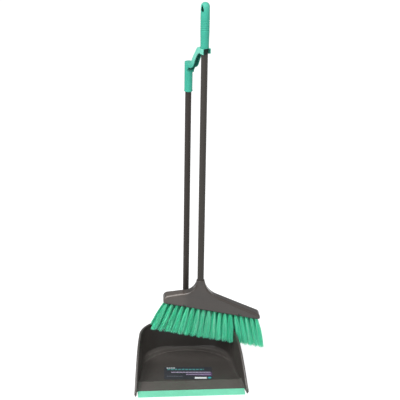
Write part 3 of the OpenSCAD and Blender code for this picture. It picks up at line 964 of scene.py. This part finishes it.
def tuft_points(row):
    """A point for each tuft's root, with the vector from there to the middle of its tip."""
    foot = Matrix.Translation((*BROOM_TUBE, head_foot(0))) @ Matrix.Rotation(HEAD_SLOPE, 4, "Y")
    roots, aims = [], []
    for i in range(TUFTS[row]):
        tilt = rad(tuft_lean(i, row)) + HEAD_SLOPE
        turn = Matrix.Rotation(rad(ROW_SPLAY[row]), 4, "X") @ Matrix.Rotation(pi - tilt, 4, "Y")
        drop = turn.to_3x3() @ Vector((0, 0, BRISTLE_LENGTH / cos(tilt)))
        hole = Vector(((TUFT_FIRST[row] + i * TUFT_PITCH) / cos(HEAD_SLOPE), ROW_Y[row] * MM, 0))
        root = hole + Vector((0, 0, ROOT_DEPTH))
        roots.append(foot @ root)
        aims.append(foot @ (hole + drop) - foot @ root)
    mesh = bpy.data.meshes.new("tuft_roots")
    mesh.from_pydata([tuple(r) for r in roots], [], [])
    stored = mesh.attributes.new("aim", "FLOAT_VECTOR", "POINT")
    stored.data.foreach_set("vector", [c for a in aims for c in a])
    store_values(mesh, "outside", [float(i >= INNER_TUFTS[row]) for i in range(TUFTS[row])])
    return mesh


class Tree(NodeKit):
    """A geometry node group with named inputs."""

    def __init__(self, name, sockets):
        self.tree = bpy.data.node_groups.new(name, "GeometryNodeTree")
        new = self.tree.interface.new_socket
        new("Geometry", in_out="INPUT", socket_type="NodeSocketGeometry")
        new("Geometry", in_out="OUTPUT", socket_type="NodeSocketGeometry")
        self.named = {}
        for label, kind in sockets:
            self.named[label] = new(label, in_out="INPUT", socket_type="NodeSocket" + kind).identifier
        self.start = self.tree.nodes.new("NodeGroupInput")
        self.end = self.tree.nodes.new("NodeGroupOutput")

    def get(self, label):
        return self.start.outputs[label]

    def geo(self, kind, inputs=None, **settings):
        """Adds a geometry node and gives its first output."""
        return self.add("GeometryNode" + kind, inputs, **settings).outputs[0]

    def random(self, low, high, seed):
        """A random number; 2 and 3 are the node's lowest and highest value as floats."""
        inputs = {2: low, 3: high, "Seed": seed}
        return self.add("FunctionNodeRandomValue", inputs, data_type="FLOAT").outputs[1]

    def store(self, geometry, name, value, kind="FLOAT_VECTOR"):
        inputs = {"Geometry": geometry, "Name": name, "Value": value}
        return self.geo("StoreNamedAttribute", inputs, data_type=kind)

    def read(self, name, kind="FLOAT_VECTOR"):
        return self.geo("InputNamedAttribute", {"Name": name}, data_type=kind)


def parted(t, where):
    """Keeps each bristle on its tuft's side of the pan's right wall, with a gap that closes above the rim.

    Tips far out on the right are drawn in a little.
    """
    middle = (CORNER.x, CORNER.y, 0.0)
    level = t.vector("MULTIPLY", t.vector("SUBTRACT", where, middle), (1.0, 1.0, 0.0))
    away = t.add("ShaderNodeVectorMath", {0: level}, operation="LENGTH").outputs["Value"]
    apart = t.split(where)
    above = t.times(t.math("MAXIMUM", t.minus(apart["Z"], RIM_Z), 0.0), GAP_CLOSE)
    inner = t.math("MINIMUM", away, t.plus(above, CORNER_R - BEAD_T - WALL_GAP))
    outer = t.math("MAXIMUM", away, t.minus(CORNER_R + WALL_GAP, above))
    chosen = t.add("ShaderNodeMix", {"Factor": t.read("outside", "FLOAT"), "A": inner, "B": outer}).outputs[0]
    ratio = t.math("DIVIDE", chosen, t.math("MAXIMUM", away, 0.001))
    near = t.math("GREATER_THAN", apart["X"], 60 * MM)
    moved = t.vector("ADD", where, t.scaled(level, t.times(t.minus(ratio, 1.0), near)))
    far = t.math("MAXIMUM", t.minus(apart["X"], FULL_REACH_X), 0.0)
    return t.vector("SUBTRACT", moved, t.combined(X=t.times(far, FAR_PULL)))


def bristle_tree():
    """Every tuft root becomes a bundle of bowed bristles that fans out towards its tip."""
    sockets = (("Bristles", "Int"), ("Thickness", "Float"), ("Root radius", "Float"), ("Tip radius", "Float"),
               ("Bow", "Float"), ("Trim", "Float"), ("Seed", "Int"), ("Material", "Material"))
    t = Tree("bristle_bundles", sockets)

    def seeded(k):
        return t.plus(t.get("Seed"), float(k))

    source = {"Geometry": t.get("Geometry"), "Amount": t.get("Bristles")}
    points = t.geo("DuplicateElements", source, domain="POINT")
    turn = t.random(0.0, 2 * pi, seeded(1))
    out = t.math("POWER", t.random(0.0, 1.0, seeded(2)), 0.62)
    disc = t.combined(X=t.times(out, t.math("COSINE", turn)), Y=t.times(out, t.math("SINE", turn)))
    root = t.geo("InputPosition")
    aim = t.read("aim")
    length = t.random(0.0, 1.0, seeded(3))
    trim = t.minus(1.0, t.times(t.get("Trim"), t.math("POWER", length, 2.5)))
    tip = t.vector("ADD", root, t.scaled(aim, trim))
    bow = t.combined(X=t.random(-1.0, 1.0, seeded(4)), Y=t.random(-1.0, 1.0, seeded(5)))
    bow = t.scaled(bow, t.get("Bow"))
    for name, value in (("root_at", root), ("tip_at", tip), ("spread", disc), ("bow_to", bow)):
        points = t.store(points, name, value)
    points = t.store(points, "tone", t.random(0.0, 1.0, seeded(6)), "FLOAT")
    strand = t.geo("CurvePrimitiveLine", {"Start": (0, 0, 0), "End": (0, 0, 1)})
    strand = t.geo("ResampleCurve", {"Curve": strand, "Count": 7})
    strands = t.geo("InstanceOnPoints", {"Points": points, "Instance": strand})
    strands = t.geo("RealizeInstances", {"Geometry": strands})
    along = t.geo("SplineParameter")
    ends = {"Factor": along, 4: t.read("root_at"), 5: t.read("tip_at")}
    straight = t.add("ShaderNodeMix", ends, data_type="VECTOR")
    swell = t.math("SINE", t.times(along, pi))
    growth = t.minus(t.get("Tip radius"), t.get("Root radius"))
    wide = t.plus(t.get("Root radius"), t.times(growth, t.math("POWER", along, 0.75)))
    bowed = t.scaled(t.read("bow_to"), swell)
    fanned = t.scaled(t.read("spread"), wide)
    where = t.vector("ADD", straight.outputs[1], t.vector("ADD", bowed, fanned))
    placed = t.geo("SetPosition", {"Geometry": strands, "Position": parted(t, where)})
    placed = t.store(placed, "along", along, "FLOAT")
    taper = t.minus(1.0, t.times(t.math("POWER", along, 3.0), 0.45))
    placed = t.geo("SetCurveRadius", {"Curve": placed, "Radius": taper})
    section = t.geo("CurvePrimitiveCircle", {"Resolution": 3, "Radius": t.get("Thickness")})
    inputs = {"Curve": placed, "Profile Curve": section, "Fill Caps": True}
    hair = t.add("GeometryNodeCurveToMesh", inputs)
    if "Scale" in hair.inputs:
        t.tree.links.new(taper, hair.inputs["Scale"])
    real = t.geo("RealizeInstances", {"Geometry": hair.outputs[0]})
    done = t.geo("SetMaterial", {"Geometry": real, "Material": t.get("Material")})
    t.tree.links.new(done, t.end.inputs[0])
    return t


BUNDLE = {"Thickness": 0.32 * MM, "Root radius": 2.0 * MM, "Tip radius": 8.6 * MM, "Bow": 1.9 * MM,
          "Trim": 0.14}


def make_bristles(material):
    """One piece for each row, without the attributes that only its nodes need."""
    tree = bristle_tree()
    for row, node in enumerate(("tufts_front_row", "tufts_second_row", "tufts_third_row", "tufts_back_row")):
        holder = add_object(f"bristles_row_{row + 1}", tuft_points(row))
        change = holder.modifiers.new("bundles", "NODES")
        change.node_group = tree.tree
        values = {**BUNDLE, "Bristles": 240 if row == 0 else 210, "Seed": 11 + 20 * row, "Material": material}
        for label, value in values.items():
            change[tree.named[label]] = value
        bake_modifiers(holder)
        stored = holder.data.attributes
        for name in ("root_at", "tip_at", "bow_to", "spread", "aim", "outside"):
            if name in stored:
                stored.remove(stored[name])
        smooth_faces(holder.data)
        settle(holder, "broom", node)


# ---- label and small parts
def label_film(name, centre, turn):
    """Dark printed film with plain bars and dots in place of any wording."""
    n = Nodes(name)
    where = n.place(origin=(*centre, 0))
    square = n.add("ShaderNodeVectorRotate", {"Vector": where, "Angle": -turn}, rotation_type="Z_AXIS")
    apart = n.split(square.outputs[0])
    x, y = apart["X"], apart["Y"]

    def between(value, low, high):
        above = n.math("GREATER_THAN", value, low * MM)
        return n.times(above, n.math("LESS_THAN", value, high * MM))

    def bar(x0, x1, y0, y1):
        return n.times(between(x, x0, x1), between(y, y0, y1))

    def dashes(mask, pitch, gap):
        step = n.math("FRACT", n.math("DIVIDE", x, pitch * MM))
        return n.times(mask, n.math("GREATER_THAN", step, gap))

    mottle = n.noise(where, 60.0, 3.0)
    colour = n.mix(mottle, (0.022, 0.024, 0.030, 1), (0.040, 0.042, 0.050, 1))
    purple = n.times(n.span(x, 0.0, 50 * MM, 0.0, 0.5), bar(-2, 60, -14, 4))
    colour = n.mix(purple, colour, (0.13, 0.06, 0.17, 1))
    marks = ((dashes(bar(-54, -32, 23, 27), 5.5, 0.2), (0.55, 0.6, 0.62, 1)),
             (dashes(bar(-54, 40, 15, 21), 9.0, 0.22), (0.06, 0.22, 0.22, 1)),
             (dashes(bar(-42, 56, 2, 6), 3.6, 0.25), (0.42, 0.36, 0.5, 1)),
             (dashes(bar(-6, 56, -8, -4), 3.1, 0.3), (0.36, 0.28, 0.44, 1)),
             (dashes(bar(-54, -14, -17, -14), 4.2, 0.3), (0.12, 0.13, 0.16, 1)),
             (bar(16, 46, -27, -19), (0.62, 0.64, 0.66, 1)))
    for mask, ink in marks:
        colour = n.mix(mask, colour, ink)
    away = n.plus(n.math("POWER", n.minus(x, 53 * MM), 2.0),
                  n.math("POWER", n.plus(y, 22.5 * MM), 2.0))
    colour = n.mix(n.math("LESS_THAN", away, (4.2 * MM) ** 2), colour, (0.05, 0.36, 0.38, 1))
    return n.surface(colour, n.span(mottle, 0.3, 0.7, 0.3, 0.4), (n.noise(where, 90.0), 0.08, 0.0004))


def make_label():
    """A thin film with round corners, put on a little askew."""
    low, high = box_of("label_sticker")
    centre, turn = ((low + high) / 2).to_2d(), rad(-3.15)
    half_x, half_y, corner = 60 * MM, 30 * MM, 3 * MM
    outline = []
    for sx, sy, start in ((1, 1, 0), (-1, 1, 90), (-1, -1, 180), (1, -1, 270)):
        outline += arc((sx * (half_x - corner), sy * (half_y - corner)), corner, start, start + 90, 6)
    spin = Matrix.Rotation(turn, 2)

    def place(u, v, z):
        return Vector((*(centre + spin @ Vector((u, v))), z))

    film = prism("label_sheet", outline, low.z, high.z, label_film("label_film", centre, turn), place)
    settle(film, "dustpan", "label_sticker")


def finish_nodes(names, material):
    """CAD pieces whose shape stays get their finish."""
    for name in names:
        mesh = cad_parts[name].data
        mesh.materials.clear()
        mesh.materials.append(material)


make_camera()
make_studio()
pan_plastic = moulded_plastic("pan_plastic", (0.056, 0.050, 0.046), 0.33, grain=0.14, scuff=0.05)
head_plastic = moulded_plastic("head_plastic", (0.029, 0.024, 0.021), 0.22, grain=0.06, shine=0.6)
# A painted sheen whitens the mint plastic where its stored painted light is paler.
mint_plastic = moulded_plastic("mint_plastic", (0.045, 0.33, 0.24), 0.45, grain=0.08, shine=0.1, bloom_and_painted_sheen=0.6)
make_pan(pan_plastic)
make_lip(soft_rubber("lip_rubber", (0.15, 0.56, 0.37)))
pan_coat = powder_coat("pan_tube_coat", (0.034, 0.029, 0.026), (*PAN_TUBE, 0))
make_tube("pan_handle_tube", "pan_tube", "dustpan", pan_coat)
# The broom tube is painted near black inside the clip's ring, as shade.
broom_coat = powder_coat("broom_tube_coat", (0.040, 0.036, 0.032), (*BROOM_TUBE, 0), PAINTED_SHADE_Z)
make_tube("broom_handle_tube", "broom_tube", "broom", broom_coat)
make_clip(mint_plastic)
make_grip(mint_plastic)
make_head(head_plastic)
make_bristles(bristle_fibre("bristle_fibre", (0.04, 0.66, 0.33), (0.10, 0.93, 0.54)))
make_label()
finish_nodes(("socket_screw", "tuft_anchors"), bright_zinc("screw_steel"))
finish_nodes(("threaded_ferrule",), moulded_plastic("ferrule_plastic", (0.03, 0.03, 0.03), 0.45))
finish_nodes(("bristle_block",), moulded_plastic("block_plastic", (0.03, 0.16, 0.10), 0.5))
